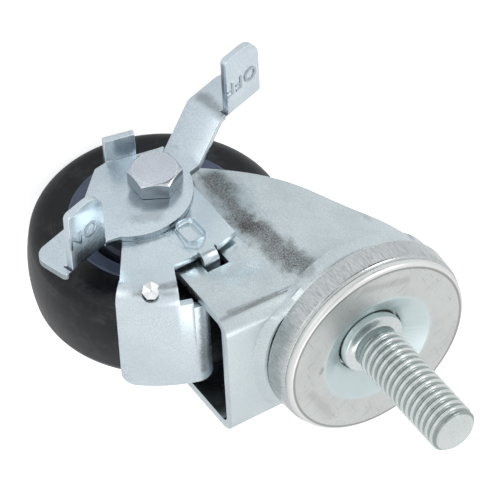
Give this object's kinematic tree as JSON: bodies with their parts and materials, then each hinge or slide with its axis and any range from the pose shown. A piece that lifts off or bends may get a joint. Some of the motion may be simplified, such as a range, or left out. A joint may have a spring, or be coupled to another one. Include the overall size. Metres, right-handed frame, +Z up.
{
  "type": "swivel castor",
  "caption": "Swivel castor with a threaded stem, a pressed steel fork, a rubber-tyred wheel and a side lever brake with ON and OFF treads.",
  "frame": {"origin": "on the stem's axis, at the face of the mounting disc that meets the furniture", "axes": "+Z up along the stem, the wheel's axle along Y, the brake on the -Y side, the wheel trailing to +X"},
  "size_m": [0.0904, 0.0802, 0.1256],
  "materials": {
    "zinc_bright": "blue-white zinc plate",
    "zinc_matt": "warm grey zinc plate, brushed",
    "steel_balls": "polished",
    "tyre_rubber": "matt black",
    "hub_plastic": "satin blue-grey",
    "bush_plastic": "satin",
    "insert_plastic": "satin"
  },
  "bodies": {
    "stem": {"threaded_stem": "zinc_bright", "mounting_disc": "zinc_matt", "upper_race_cup": "zinc_matt", "lower_race": "zinc_bright"},
    "fork": {"fork": "zinc_bright", "upper_balls": "steel_balls", "lower_balls": "steel_balls", "axle_bolt": "zinc_bright", "axle_nut": "zinc_bright", "nut_insert": "insert_plastic", "axle_sleeve": "zinc_bright", "brake_spacer": "zinc_bright"},
    "wheel": {"tyre": "tyre_rubber", "wheel_hub": "hub_plastic", "near_bush": "bush_plastic", "far_bush": "bush_plastic"},
    "lever": {"brake_lever": "zinc_bright", "brake_cam": "zinc_bright"},
    "shoe": {"brake_shoe": "zinc_bright"}
  },
  "joints": [
    {"name": "swivel", "type": "hinge", "parent": "stem", "child": "fork", "pos_m": [0, 0, 0], "axis": [0, 0, 1], "continuous": true},
    {"name": "wheel_spin", "type": "hinge", "parent": "fork", "child": "wheel", "pos_m": [0.0267, 0, -0.0582], "axis": [0, 1, 0], "continuous": true},
    {"name": "brake_lever_turn", "type": "hinge", "parent": "fork", "child": "lever", "pos_m": [0.0267, 0, -0.0582], "axis": [0, 1, 0], "range_deg": [0, 33.4]},
    {"name": "brake_shoe_slide", "type": "slide", "parent": "fork", "child": "shoe", "axis": [-0.4924, 0, -0.8704], "range_m": [0, 0.0014]}
  ],
  "couplings": [
    {"joint": "brake_shoe_slide", "follows": "brake_lever_turn", "m_per_rad": 0.0024016}
  ]
}
